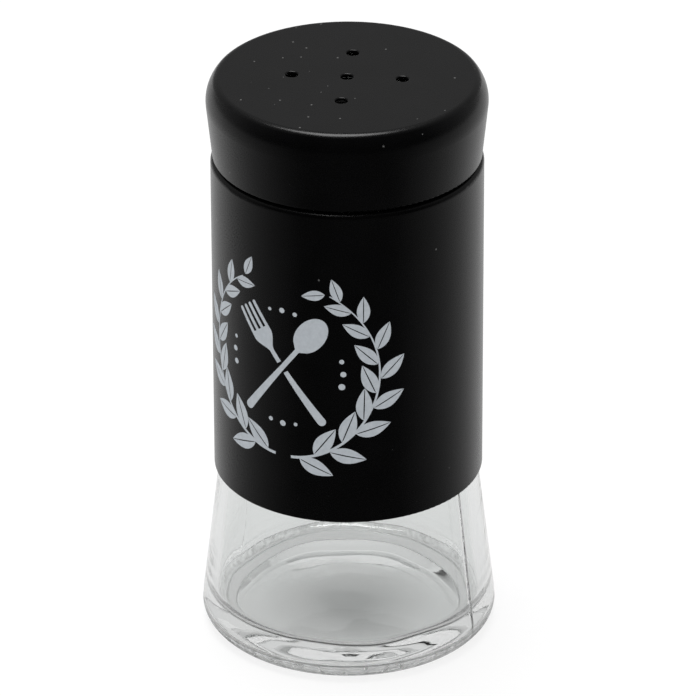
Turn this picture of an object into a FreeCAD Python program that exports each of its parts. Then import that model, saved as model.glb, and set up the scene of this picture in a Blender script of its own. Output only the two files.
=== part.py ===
import FreeCAD, Part
import math
import os
import re

import Sketcher
from FreeCAD import Placement, Rotation, Vector

# Spice shaker: a flared glass jar in a painted steel sleeve, with a screw cap whose
# top has five pouring holes. Millimetres, +Z up, origin at the middle of the foot,
# -Y the printed front.

# Driving dimensions
SIZES = {
    "foot_radius": (25.1, "where the flare would meet the table, before the heel is rounded"),
    "heel_rounding": (3.2, "outer rounding at the foot"),
    "ring_radius": (18.5, "inner edge of the ring that the jar stands on"),
    "push_up": (2.0, "height of the hollow under the foot"),
    "flare_angle": (6.75, "degrees that the glass leans in above the foot"),
    "jar_radius": (21.45, "straight glass body under the sleeve"),
    "jar_wall": (2.45, "thickness of the glass body"),
    "floor_height": (4.7, "inner floor at its edge"),
    "floor_dome": (0.9, "rise of the inner floor at its middle"),
    "floor_rounding": (2.4, "inner corner between the floor and the wall"),
    "flare_rounding": (14.0, "blend between the flare and the straight body"),
    "shoulder_height": (85.4, "top of the glass shoulder"),
    "shoulder_rounding": (3.0, "outer rounding of the shoulder"),
    "shoulder_wall": (3.6, "thickness of the glass at the shoulder"),
    "neck_radius": (17.54, "outside of the neck between threads"),
    "bore_radius": (15.6, "mouth of the jar"),
    "lip_height": (97.2, "top of the jar"),
    "lip_rounding": (0.7, "fire-polished lip"),
    "neck_rounding": (0.6, "foot of the neck"),
    "thread_pitch": (4.233, "six turns to the inch"),
    "thread_depth": (1.2, "height of the glass thread"),
    "thread_foot": (2.2, "width of the glass thread at the neck"),
    "thread_crest": (0.9, "width of the glass thread at its top"),
    "thread_start": (90.2, "height of the middle of the glass thread where it starts"),
    "thread_turns": (1.1, "turns of the glass thread"),
    "seam_angle": (-32.5, "degrees from +X to the first mould seam"),
    "seam_count": (2, "mould seams, evenly round the jar"),
    "seam_width": (0.5, "mould seam"),
    "seam_height": (0.12, "mould seam above the glass"),
    "sleeve_radius": (22.45, "outside of the sleeve"),
    "sleeve_wall": (0.4, "steel of the sleeve"),
    "sleeve_bottom": (29.3, "lower edge of the sleeve"),
    "sleeve_top": (85.9, "upper face of the sleeve"),
    "sleeve_bend": (0.9, "outer bend at the top of the sleeve"),
    "sleeve_mouth": (19.3, "hole in the sleeve's turned-in top"),
    "edge_rounding": (0.15, "cut edges of the steel"),
    "pad_bottom": (48.0, "lower edge of the glue pads"),
    "pad_height": (22.0, "height of a glue pad"),
    "pad_span": (20.0, "degrees that one glue pad covers"),
    "pad_count": (6, "glue pads round the jar"),
    "pad_gap": (0.02, "space between a glue pad and its neighbours"),
    "cap_top": (100.0, "overall height"),
    "cap_bottom": (86.2, "lower edge of the cap"),
    "cap_radius": (23.1, "widest part of the cap"),
    "cap_widest": (95.95, "height of the widest part of the cap"),
    "cap_brow": (5.8, "radius of the cap's shoulder, in section"),
    "cap_crease": (1.4, "radius of the crease round the flat top, in section"),
    "cap_taper": (5.95, "degrees that the cap narrows downwards"),
    "cap_wall": (0.45, "steel of the cap"),
    "hem_radius": (21.15, "hole in the cap's turned-in lower edge"),
    "hem_bend": (0.5, "outer bend of the hem"),
    "hole_radius": (1.02, "pouring holes"),
    "hole_circle": (9.05, "radius of the ring of four holes"),
    "hole_turn": (-6.0, "degrees from +X to the first hole of the ring"),
    "hole_count": (4, "holes in the ring"),
    "hole_rounding": (0.26, "upper edge of a punched hole"),
    "insert_bore": (19.0, "inside of the insert's wall"),
    "insert_radius": (20.4, "outside of the insert's wall"),
    "insert_bottom": (86.8, "lower edge of the insert"),
    "insert_top": (99.5, "upper face of the insert"),
    "insert_chamfer": (0.5, "lead-in and top corner of the insert"),
    "insert_reach": (1.15, "height of the insert's thread"),
    "insert_foot": (2.0, "width of the insert's thread at the wall"),
    "insert_crest": (0.8, "width of the insert's thread at its top"),
    "insert_drop": (1.64, "insert's thread below the glass thread"),
    "insert_turns": (1.25, "turns of the insert's thread"),
    "rib_count": (24, "ribs round the insert"),
    "rib_width": (0.9, "thickness of a rib"),
    "rib_gap": (0.04, "space between a rib and the cap"),
    "washer_bottom": (97.22, "lower face of the seal"),
    "washer_top": (98.2, "underside of the insert's top"),
    "washer_inner": (15.7, "inside of the seal"),
    "washer_outer": (18.8, "outside of the seal"),
    "washer_rounding": (0.2, "edges of the seal"),
    "tiny": (0.3, "how far a rib or thread is sunk into the wall that carries it"),
}

# How close two lengths must be to count as the same
SAME = 1e-4
# Degrees in a whole turn
WHOLE_TURN = 360

doc = FreeCAD.newDocument("spice_shaker")
sheet = doc.addObject("Spreadsheet::Sheet", "Sizes")


def fill_sheet():
    """Write each driving dimension as a number with its name as alias."""
    for row, (name, (value, note)) in enumerate(SIZES.items(), start=1):
        sheet.set(f"A{row}", name)
        sheet.set(f"B{row}", str(value))
        sheet.set(f"C{row}", note)
        sheet.setAlias(f"B{row}", name)
    doc.recompute()


def bound(formula):
    """The formula with each dimension's name pointed at its cell in the sheet."""
    return re.sub(r"[a-z_]+", lambda word: f"Sizes.{word[0]}" if word[0] in SIZES else word[0], formula)


def number(formula):
    """The formula's present value."""
    value = sheet.evalExpression(bound(formula))
    return float(getattr(value, "Value", value))


def add_body(name):
    body = doc.addObject("PartDesign::Body", name)
    body.Label = name
    body.Placement = Placement()
    return body


def origin_item(body, role):
    return next(item for item in body.Origin.OriginFeatures if item.Role == role)


def add_sketch(body, name, plane="XZ_Plane"):
    sketch = body.newObject("Sketcher::SketchObject", name)
    sketch.AttachmentSupport = (origin_item(body, plane), "")
    sketch.MapMode = "FlatFace"
    return sketch


def fix_value(sketch, formula, *constraint):
    """Add a dimension to the sketch and drive it by the formula."""
    index = sketch.addConstraint(Sketcher.Constraint(*constraint, number(formula)))
    sketch.setExpression(f"Constraints[{index}]", bound(formula))


def fix_point(sketch, edge, end, across, up):
    """Hold one end of an edge at a place, or on an axis where the place is zero."""
    if across == "0":
        sketch.addConstraint(Sketcher.Constraint("PointOnObject", edge, end, -2))
    else:
        fix_value(sketch, across, "DistanceX", -1, 1, edge, end)
    if up == "0":
        sketch.addConstraint(Sketcher.Constraint("PointOnObject", edge, end, -1))
    else:
        fix_value(sketch, up, "DistanceY", -1, 1, edge, end)


def arc_between(start, end, radius, turn):
    """Arc from start to end that bends left for a turn of 1 and right for -1."""
    chord = end - start
    rise = math.sqrt(max(radius ** 2 - chord.Length ** 2 / 4, 0))
    side = Vector(-chord.y, chord.x, 0).normalize() * rise * turn
    centre = start + chord / 2 + side
    first, last = (start, end) if turn > 0 else (end, start)
    angles = [math.atan2(point.y - centre.y, point.x - centre.x) for point in (first, last)]
    if angles[1] < angles[0]:
        angles[1] += 2 * math.pi
    return Part.ArcOfCircle(Part.Circle(centre, Vector(0, 0, 1), radius), *angles)


def draw_outline(sketch, corners):
    """Closed outline. A corner is (across, up), or (across, up, radius, turn) for an arc to it."""
    points = [Vector(number(corner[0]), number(corner[1]), 0) for corner in corners]
    ends = []
    for index, corner in enumerate(corners):
        start, end = points[index - 1], points[index]
        if len(corner) == 2:
            edge = sketch.addGeometry(Part.LineSegment(start, end), False)
            ends.append((edge, 1, 2))
            continue
        edge = sketch.addGeometry(arc_between(start, end, number(corner[2]), corner[3]), False)
        ends.append((edge, 1, 2) if corner[3] > 0 else (edge, 2, 1))
    for index, (edge, first, _) in enumerate(ends):
        before, _, before_last = ends[index - 1]
        sketch.addConstraint(Sketcher.Constraint("Coincident", before, before_last, edge, first))
    for corner, (edge, _, last) in zip(corners, ends):
        fix_point(sketch, edge, last, corner[0], corner[1])
        if len(corner) == 4:
            fix_value(sketch, corner[2], "Radius", edge)


def add_turned(body, name, corners):
    """Turn an outline round Z."""
    sketch = add_sketch(body, name + "_outline")
    draw_outline(sketch, corners)
    turned = body.newObject("PartDesign::Revolution", name)
    turned.Profile = sketch
    turned.ReferenceAxis = (sketch, ["V_Axis"])
    turned.Angle = WHOLE_TURN
    doc.recompute()
    return turned


def add_thread(body, name, corners, turns):
    """Sweep an outline up a right-handed helix round Z."""
    sketch = add_sketch(body, name + "_outline")
    draw_outline(sketch, corners)
    thread = body.newObject("PartDesign::AdditiveHelix", name)
    thread.Profile = sketch
    thread.ReferenceAxis = (sketch, ["V_Axis"])
    thread.Mode = "pitch-turns-angle"
    thread.setExpression("Pitch", bound("thread_pitch"))
    thread.setExpression("Turns", bound(turns))
    thread.LeftHanded = False
    doc.recompute()
    return thread


def add_ring_of(body, name, feature, count):
    """Repeat a feature evenly round Z."""
    ring = body.newObject("PartDesign::PolarPattern", name)
    ring.Originals = [feature]
    ring.Axis = (origin_item(body, "Z_Axis"), [""])
    ring.Angle = WHOLE_TURN
    ring.setExpression("Occurrences", bound(count))
    body.Tip = ring
    doc.recompute()
    return ring


def is_circle(edge, radius, height):
    """Whether an edge is a level circle, or part of one, of that radius at that height."""
    if edge.Degenerated or not isinstance(edge.Curve, Part.Circle):
        return False
    return abs(edge.Curve.Radius - radius) < SAME and abs(edge.Curve.Center.z - height) < SAME


def is_ring(edge, radius, height):
    """Whether an edge is the circle round Z of that radius at that height."""
    if not is_circle(edge, radius, height):
        return False
    return math.hypot(edge.Curve.Center.x, edge.Curve.Center.y) < SAME


def round_edges(body, name, size, chosen):
    """Round the edges for which chosen(edge) is true."""
    doc.recompute()
    base = body.Tip
    edges = [f"Edge{index}" for index, edge in enumerate(base.Shape.Edges, start=1) if chosen(edge)]
    if not edges:
        raise RuntimeError(f"{name}: no edge to round")
    fillet = body.newObject("PartDesign::Fillet", name)
    fillet.Base = (base, edges)
    fillet.setExpression("Radius", bound(size))
    doc.recompute()
    return fillet


def round_rings(body, name, size, *places):
    """Round the circles round Z at the given (radius, height) places."""
    rings = [(number(radius), number(height)) for radius, height in places]
    return round_edges(body, name, size, lambda edge: any(is_ring(edge, *ring) for ring in rings))


def flare(height, inset="0"):
    """Radius of the jar's leaning wall at a height, set in by a wall's thickness."""
    return f"foot_radius - ({height}) * tan(flare_angle * 1 deg) - ({inset}) / cos(flare_angle * 1 deg)"


def flare_end(inset="0"):
    """Height at which the leaning wall, set in by a thickness, meets the straight body."""
    lean = "tan(flare_angle * 1 deg)"
    slant = f"({inset}) / cos(flare_angle * 1 deg)"
    return f"(foot_radius - {slant} - jar_radius + ({inset})) / {lean}"


def make_glass_jar():
    body = add_body("glass_jar")
    inner = "jar_radius - jar_wall"
    dome_radius = "({0} ^ 2 + floor_dome ^ 2) / (2 * floor_dome)".format(
        "(" + flare("floor_height", "jar_wall") + ")"
    )
    hollow_top = "shoulder_height - shoulder_wall"
    hollow_slope = "bore_radius - neck_radius + jar_wall"
    add_turned(body, "jar_wall_and_floor", [
        ("0", "push_up"),
        ("ring_radius", "0", "(ring_radius ^ 2 + push_up ^ 2) / (2 * push_up)", -1),
        ("foot_radius", "0"),
        ("jar_radius", flare_end()),
        ("jar_radius", "shoulder_height"),
        ("neck_radius", "shoulder_height"),
        ("neck_radius", "lip_height"),
        ("bore_radius", "lip_height"),
        ("bore_radius", f"{hollow_top} + {hollow_slope}"),
        (inner, hollow_top),
        (inner, flare_end("jar_wall")),
        (flare("floor_height", "jar_wall"), "floor_height"),
        ("0", "floor_height + floor_dome", dome_radius, 1),
    ])
    round_rings(body, "heel", "heel_rounding", ("foot_radius", "0"))
    round_rings(body, "flare_blend", "flare_rounding",
                ("jar_radius", flare_end()), (inner, flare_end("jar_wall")))
    round_rings(body, "floor_corner", "floor_rounding",
                (flare("floor_height", "jar_wall"), "floor_height"))
    round_rings(body, "shoulder", "shoulder_rounding", ("jar_radius", "shoulder_height"))
    round_rings(body, "inner_shoulder", "shoulder_rounding - neck_rounding", (inner, hollow_top))
    round_rings(body, "inner_neck", "shoulder_rounding / 2",
                ("bore_radius", f"{hollow_top} + {hollow_slope}"))
    round_rings(body, "neck_foot", "neck_rounding", ("neck_radius", "shoulder_height"))
    round_rings(body, "lip", "lip_rounding", ("neck_radius", "lip_height"), ("bore_radius", "lip_height"))
    add_thread(body, "neck_thread", [
        ("neck_radius - tiny", "thread_start - thread_foot / 2"),
        ("neck_radius", "thread_start - thread_foot / 2"),
        ("neck_radius + thread_depth", "thread_start - thread_crest / 2"),
        ("neck_radius + thread_depth", "thread_start + thread_crest / 2"),
        ("neck_radius", "thread_start + thread_foot / 2"),
        ("neck_radius - tiny", "thread_start + thread_foot / 2"),
    ], "thread_turns")
    add_mould_seams(body)
    return body


def add_mould_seams(body):
    """Two fine ridges, opposite each other, from the heel to the shoulder."""
    low = "heel_rounding + tiny * 2"
    high = "shoulder_height - shoulder_rounding - tiny"
    sketch = add_sketch(body, "seam_outline")
    sketch.AttachmentOffset = Placement(Vector(), Rotation(Vector(0, 1, 0), SIZES["seam_angle"][0]))
    sketch.setExpression(".AttachmentOffset.Rotation.Angle", bound("seam_angle * 1 deg"))
    draw_outline(sketch, [
        (flare(low, "tiny"), low),
        (flare(low) + " + seam_height", low),
        ("jar_radius + seam_height", flare_end() + " + tiny * 2"),
        ("jar_radius + seam_height", high),
        ("jar_radius - tiny", high),
        ("jar_radius - tiny", flare_end("tiny")),
    ])
    seam = body.newObject("PartDesign::Pad", "mould_seam")
    seam.Profile = sketch
    seam.SideType = "Symmetric"
    seam.setExpression("Length", bound("seam_width"))
    doc.recompute()
    return add_ring_of(body, "mould_seams", seam, "seam_count")


def make_body_sleeve():
    body = add_body("body_sleeve")
    inside = "sleeve_radius - sleeve_wall"
    add_turned(body, "sleeve_tube", [
        (inside, "sleeve_bottom"),
        ("sleeve_radius", "sleeve_bottom"),
        ("sleeve_radius", "sleeve_top"),
        ("sleeve_mouth", "sleeve_top"),
        ("sleeve_mouth", "sleeve_top - sleeve_wall"),
        (inside, "sleeve_top - sleeve_wall"),
    ])
    round_rings(body, "outer_bend", "sleeve_bend", ("sleeve_radius", "sleeve_top"))
    round_rings(body, "inner_bend", "sleeve_bend - sleeve_wall", (inside, "sleeve_top - sleeve_wall"))
    round_rings(body, "cut_edges", "edge_rounding", ("sleeve_radius", "sleeve_bottom"),
                (inside, "sleeve_bottom"), ("sleeve_mouth", "sleeve_top"))
    return body


def make_sleeve_glue_pads():
    body = add_body("sleeve_glue_pads")
    sketch = add_sketch(body, "pad_outline")
    inner = "jar_radius + pad_gap"
    outer = "sleeve_radius - sleeve_wall - pad_gap"
    draw_outline(sketch, [
        (inner, "pad_bottom"),
        (outer, "pad_bottom"),
        (outer, "pad_bottom + pad_height"),
        (inner, "pad_bottom + pad_height"),
    ])
    pad = body.newObject("PartDesign::Revolution", "glue_pad")
    pad.Profile = sketch
    pad.ReferenceAxis = (sketch, ["V_Axis"])
    pad.Midplane = True
    pad.setExpression("Angle", bound("pad_span"))
    doc.recompute()
    add_ring_of(body, "glue_pads", pad, "pad_count")
    return body


def brow_side(inset, height):
    """Radius of the cap's tapering side at a height, set in by a thickness."""
    lean = "cap_taper * 1 deg"
    foot = f"(cap_radius - cap_brow + (cap_brow - ({inset})) * cos({lean}))"
    foot_height = f"(cap_widest - (cap_brow - ({inset})) * sin({lean}))"
    return f"{foot} - ({foot_height} - ({height})) * tan({lean})"


def cap_dome(inset, bottom):
    """Corners of the cap's outside from its lower edge to the middle of its top.

    The side is a straight taper, the shoulder an arc that is widest at cap_widest, and
    the crease a smaller arc inside it that runs into the flat top.
    """
    lean = "cap_taper * 1 deg"
    brow = f"(cap_brow - ({inset}))"
    crease = f"(cap_crease - ({inset}))"
    middle = "(cap_radius - cap_brow)"
    rise = "(cap_top - cap_crease - cap_widest)"
    reach = "(cap_brow - cap_crease)"
    crease_middle = f"({middle} + sqrt({reach} ^ 2 - {rise} ^ 2))"
    return [
        (brow_side(inset, bottom), bottom),
        (f"{middle} + {brow} * cos({lean})", f"cap_widest - {brow} * sin({lean})"),
        (f"{middle} + {brow} * ({crease_middle} - {middle}) / {reach}",
         f"cap_widest + {brow} * {rise} / {reach}", brow, 1),
        (crease_middle, f"cap_top - ({inset})", crease, 1),
        ("0", f"cap_top - ({inset})"),
    ]


def turned_round(corners):
    """The same outline walked the other way, with each arc kept between its two corners."""
    walked = []
    arrive = None
    for corner in reversed(corners):
        place = corner[:2]
        walked.append(place + arrive if arrive else place)
        arrive = (corner[2], -corner[3]) if len(corner) == 4 else None
    return walked


def make_cap_shell():
    body = add_body("cap_shell")
    hem_top = "cap_bottom + cap_wall"
    outside = cap_dome("0", "cap_bottom")
    inside = turned_round(cap_dome("cap_wall", hem_top))
    add_turned(body, "shell_wall", [("hem_radius", "cap_bottom")] + outside + inside
               + [("hem_radius", hem_top)])
    round_rings(body, "hem_bend", "hem_bend", (brow_side("0", "cap_bottom"), "cap_bottom"))
    sketch = add_sketch(body, "middle_hole_outline", "XY_Plane")
    middle = add_hole(body, sketch, "middle_hole", "0")
    sketch = add_sketch(body, "ring_hole_outline", "XY_Plane")
    ring_hole = add_hole(body, sketch, "ring_hole", "hole_circle")
    add_ring_of(body, "ring_holes", ring_hole, "hole_count")
    top, radius = number("cap_top"), number("hole_radius")
    round_edges(body, "punched_edges", "hole_rounding", lambda edge: is_circle(edge, radius, top))
    return body


def add_hole(body, sketch, name, distance):
    """Punch a round hole through the cap's top, at a distance from its middle."""
    height = number("cap_top + tiny")
    turn = Rotation(Vector(0, 0, 1), SIZES["hole_turn"][0])
    sketch.AttachmentOffset = Placement(Vector(0, 0, height), turn)
    sketch.setExpression(".AttachmentOffset.Base.z", bound("cap_top + tiny"))
    sketch.setExpression(".AttachmentOffset.Rotation.Angle", bound("hole_turn * 1 deg"))
    centre = Vector(number(distance), 0, 0)
    circle = sketch.addGeometry(Part.Circle(centre, Vector(0, 0, 1), number("hole_radius")), False)
    fix_point(sketch, circle, 3, distance, "0")
    fix_value(sketch, "hole_radius", "Radius", circle)
    before = body.Tip.Shape.Volume
    hole = body.newObject("PartDesign::Pocket", name)
    hole.Profile = sketch
    hole.setExpression("Length", bound("cap_wall + tiny * 2"))
    doc.recompute()
    if not hole.Shape.Volume < before:
        raise RuntimeError(f"{name}: the hole cuts nothing")
    return hole


def make_cap_insert():
    body = add_body("cap_insert")
    add_turned(body, "threaded_ring", [
        ("insert_bore + insert_chamfer", "insert_bottom"),
        ("insert_radius", "insert_bottom"),
        ("insert_radius", "insert_top - insert_chamfer"),
        ("insert_radius - insert_chamfer", "insert_top"),
        ("bore_radius", "insert_top"),
        ("bore_radius", "washer_top"),
        ("insert_bore", "washer_top"),
        ("insert_bore", "insert_bottom + insert_chamfer"),
    ])
    middle = "thread_start - insert_drop"
    add_thread(body, "insert_thread", [
        ("insert_bore + tiny", f"{middle} - insert_foot / 2"),
        ("insert_bore + tiny", f"{middle} + insert_foot / 2"),
        ("insert_bore", f"{middle} + insert_foot / 2"),
        ("insert_bore - insert_reach", f"{middle} + insert_crest / 2"),
        ("insert_bore - insert_reach", f"{middle} - insert_crest / 2"),
        ("insert_bore", f"{middle} - insert_foot / 2"),
    ], "insert_turns")
    rib_side = "cap_wall + rib_gap"
    rib_top = "cap_widest - cap_crease"
    sketch = add_sketch(body, "rib_outline")
    draw_outline(sketch, [
        ("insert_radius - tiny", "insert_bottom"),
        (brow_side(rib_side, "insert_bottom"), "insert_bottom"),
        (brow_side(rib_side, rib_top), rib_top),
        ("insert_radius - tiny", f"{rib_top} + cap_radius - insert_radius"),
    ])
    rib = body.newObject("PartDesign::Pad", "rib")
    rib.Profile = sketch
    rib.SideType = "Symmetric"
    rib.setExpression("Length", bound("rib_width"))
    doc.recompute()
    add_ring_of(body, "ribs", rib, "rib_count")
    return body


def make_seal_washer():
    body = add_body("seal_washer")
    add_turned(body, "washer_ring", [
        ("washer_inner", "washer_bottom"),
        ("washer_outer", "washer_bottom"),
        ("washer_outer", "washer_top - pad_gap"),
        ("washer_inner", "washer_top - pad_gap"),
    ])
    rims = [(radius, height) for radius in ("washer_inner", "washer_outer")
            for height in ("washer_bottom", "washer_top - pad_gap")]
    round_rings(body, "washer_edges", "washer_rounding", *rims)
    return body


def check_and_write(bodies):
    """Stop on any failed feature or bad shape, then write one file for each piece."""
    doc.recompute()
    for item in doc.Objects:
        if {"Invalid", "Error"} & set(item.State):
            raise RuntimeError(f"{item.Name}: {item.State}")
    for body in bodies:
        if body.Shape.isNull() or not body.Shape.isValid():
            raise RuntimeError(f"{body.Label}: bad shape")
    os.makedirs("parts", exist_ok=True)
    for body in bodies:
        solids = body.Shape.Solids
        print(f"{body.Label}: {len(solids)} solids, {body.Shape.Volume / 1000:.3f} cm3")
        body.Shape.exportStep(os.path.join("parts", body.Label + ".step"))


fill_sheet()
check_and_write([
    make_glass_jar(),
    make_body_sleeve(),
    make_sleeve_glue_pads(),
    make_cap_shell(),
    make_cap_insert(),
    make_seal_washer(),
])
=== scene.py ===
import logging
import math
from dataclasses import dataclass, field
from enum import Enum
from typing import Any, Callable, Optional, Sequence

import bpy
from mathutils import Matrix, Vector, noise


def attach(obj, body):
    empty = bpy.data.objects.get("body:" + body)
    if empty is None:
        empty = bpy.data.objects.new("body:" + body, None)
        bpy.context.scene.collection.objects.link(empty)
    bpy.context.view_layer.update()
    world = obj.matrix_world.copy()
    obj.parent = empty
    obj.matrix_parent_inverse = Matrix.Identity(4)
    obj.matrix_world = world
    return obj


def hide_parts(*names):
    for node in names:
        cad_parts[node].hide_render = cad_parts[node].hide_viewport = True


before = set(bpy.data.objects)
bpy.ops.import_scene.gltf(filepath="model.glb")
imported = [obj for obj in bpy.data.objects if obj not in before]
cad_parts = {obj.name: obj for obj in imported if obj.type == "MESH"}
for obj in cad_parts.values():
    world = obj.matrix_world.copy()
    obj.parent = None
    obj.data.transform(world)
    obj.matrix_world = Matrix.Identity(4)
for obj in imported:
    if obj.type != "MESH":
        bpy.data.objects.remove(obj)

LOG = logging.getLogger("spice_shaker")
MM = 0.001
# Lean of the flared wall, and the mould seam's place round the jar, in degrees.
FLARE_ANGLE = 6.75
SEAM_ANGLE = -32.5
# Refractive index of soda glass.
GLASS_INDEX = 1.517


class Body(Enum):
    """Rigid bodies of the shaker."""

    JAR = "jar"
    SEAL = "seal"
    CAP = "cap"


class Graph:
    """Adds and links nodes of one shader or geometry tree."""

    def __init__(self, tree: bpy.types.NodeTree) -> None:
        """Keep the tree.

        Args:
            tree: The tree that the nodes go into.
        """
        self.tree = tree

    def add(self, kind: str, inputs: Optional[dict[Any, Any]] = None, **properties: Any) -> bpy.types.Node:
        """Add a node, set its properties, then set or link its inputs.

        Args:
            kind: The node's type name.
            inputs: Input name or index to a value, or to an output socket to link.
            **properties: Attributes of the node itself.

        Returns:
            The new node.
        """
        node = self.tree.nodes.new(kind)
        for name, value in properties.items():
            setattr(node, name, value)
        for name, value in (inputs or {}).items():
            if isinstance(value, bpy.types.NodeSocket):
                self.tree.links.new(value, node.inputs[name])
            else:
                node.inputs[name].default_value = value
        return node

    def math(self, operation: str, first: Any, second: Any = 0.0) -> bpy.types.NodeSocket:
        """Output of a Math node on two values or sockets."""
        return self.add("ShaderNodeMath", {0: first, 1: second}, operation=operation).outputs[0]

    def vector(self, operation: str, first: Any, second: Any = (0.0, 0.0, 0.0)) -> bpy.types.Node:
        """Vector Math node on two vectors or sockets."""
        return self.add("ShaderNodeVectorMath", {0: first, 1: second}, operation=operation)

    def flat(self, place: bpy.types.NodeSocket) -> bpy.types.NodeSocket:
        """A place with its height taken out."""
        return self.vector("MULTIPLY", place, (1.0, 1.0, 0.0)).outputs[0]

    def split(self, vector: bpy.types.NodeSocket) -> Any:
        """The three parts of a vector, by number."""
        return self.add("ShaderNodeSeparateXYZ", {0: vector}).outputs

    def ramp(self, value: bpy.types.NodeSocket, low: float, high: float,
             start: float = 0.3, end: float = 0.7) -> bpy.types.NodeSocket:
        """Value mapped from start..end, which a noise mostly fills, to low..high."""
        return self.add("ShaderNodeMapRange", {
            "Value": value, "From Min": start, "From Max": end, "To Min": low, "To Max": high,
        }).outputs[0]

    def by_ray(self, seen: Any, through: Any, mirrored: Any, plain: Any) -> bpy.types.NodeSocket:
        """Pick a value by what kind of ray meets the surface.

        Args:
            seen: Value for the eye.
            through: Value for what is seen through glass.
            mirrored: Value for what is seen in a gloss.
            plain: Value for plain light.

        Returns:
            The picked value's socket.
        """
        path = self.add("ShaderNodeLightPath").outputs
        value = plain
        for ray, wanted in (("Glossy", mirrored), ("Transmission", through), ("Camera", seen)):
            value = self.add("ShaderNodeMix", {0: path[f"Is {ray} Ray"], 2: value, 3: wanted}).outputs[0]
        return value

    def join(self, parts: Sequence[bpy.types.NodeSocket]) -> bpy.types.NodeSocket:
        """Several geometries as one."""
        joined = self.add("GeometryNodeJoinGeometry")
        for part in parts:
            self.tree.links.new(part, joined.inputs[0])
        return joined.outputs[0]

    def position(self) -> Any:
        """The three parts of a point's place, by number."""
        return self.split(self.add("GeometryNodeInputPosition").outputs[0])

    def random(self, low: float, high: float, seed: Any) -> bpy.types.NodeSocket:
        """A random number for each point."""
        chance = self.add("FunctionNodeRandomValue", {2: low, 3: high, "Seed": seed}, data_type="FLOAT")
        return chance.outputs[1]


class Shading(Graph):
    """Node tree of one material, with the patterns that its finish is made from."""

    def __init__(self, name: str) -> None:
        """Start an empty material.

        Args:
            name: The material's name.
        """
        self.material = bpy.data.materials.new(name)
        self.material.use_nodes = True
        super().__init__(self.material.node_tree)
        self.tree.nodes.clear()
        self.place = self.add("ShaderNodeTexCoord").outputs["Object"]

    def noise(self, scale: float, detail: float = 3.0, roughness: float = 0.5,
              stretch: tuple[float, float, float] = (1.0, 1.0, 1.0)) -> bpy.types.NodeSocket:
        """Noise over the object, as a value about one half.

        Args:
            scale: Waves to a metre.
            detail: Octaves.
            roughness: Weight of the fine octaves.
            stretch: Scale along each axis.

        Returns:
            The noise value's socket.
        """
        mapped = self.add("ShaderNodeMapping", {"Vector": self.place, "Scale": stretch})
        return self.add("ShaderNodeTexNoise", {
            "Vector": mapped.outputs["Vector"], "Scale": scale, "Detail": detail, "Roughness": roughness,
        }).outputs["Fac"]

    def cells(self, scale: float) -> Any:
        """Outputs of a pattern of round cells, so many to a metre."""
        return self.add("ShaderNodeTexVoronoi", {"Vector": self.place, "Scale": scale}).outputs

    def height(self) -> bpy.types.NodeSocket:
        """Height over the table, in metres."""
        return self.split(self.place)[2]

    def along(self, direction: tuple[float, float, float]) -> bpy.types.NodeSocket:
        """How far a place lies along a direction, in metres."""
        return self.vector("DOT_PRODUCT", self.place, direction).outputs["Value"]

    def specks(self, scale: float, radius: float, share: Any) -> bpy.types.NodeSocket:
        """Mask of small round specks, one in a share of the cells of a pattern.

        Args:
            scale: Cells to a metre.
            radius: Radius of a speck as a part of its cell.
            share: Part of the cells that hold one, as a number or a socket.

        Returns:
            A socket that is 1 on a speck and 0 elsewhere.
        """
        cells = self.cells(scale)
        chance = self.add("ShaderNodeSeparateColor", {0: cells["Color"]}).outputs[0]
        chosen = self.math("LESS_THAN", chance, share)
        return self.math("MULTIPLY", chosen, self.math("LESS_THAN", cells["Distance"], radius))

    def blend(self, mask: bpy.types.NodeSocket, first: Any, second: Sequence[float]) -> bpy.types.NodeSocket:
        """Colour from the first, which may be a socket, to the second by a mask."""
        base = first if isinstance(first, bpy.types.NodeSocket) else (*first, 1.0)
        return self.add("ShaderNodeMix", {0: mask, 6: base, 7: (*second, 1.0)}, data_type="RGBA").outputs[2]

    def bump(self, height: bpy.types.NodeSocket, depth: float, strength: float = 0.5,
             under: Optional[bpy.types.NodeSocket] = None) -> bpy.types.NodeSocket:
        """Normal of a surface raised by a height pattern, over another if one is given."""
        inputs: dict[Any, Any] = {"Height": height, "Distance": depth, "Strength": strength}
        if under is not None:
            inputs["Normal"] = under
        return self.add("ShaderNodeBump", inputs).outputs[0]

    def finish(self, inputs: dict[str, Any]) -> bpy.types.Material:
        """Close the material with one Principled shader.

        Args:
            inputs: Input name to a value or a socket.

        Returns:
            The finished material.
        """
        shader = self.add("ShaderNodeBsdfPrincipled", inputs)
        self.add("ShaderNodeOutputMaterial", {"Surface": shader.outputs[0]})
        return self.material


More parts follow.
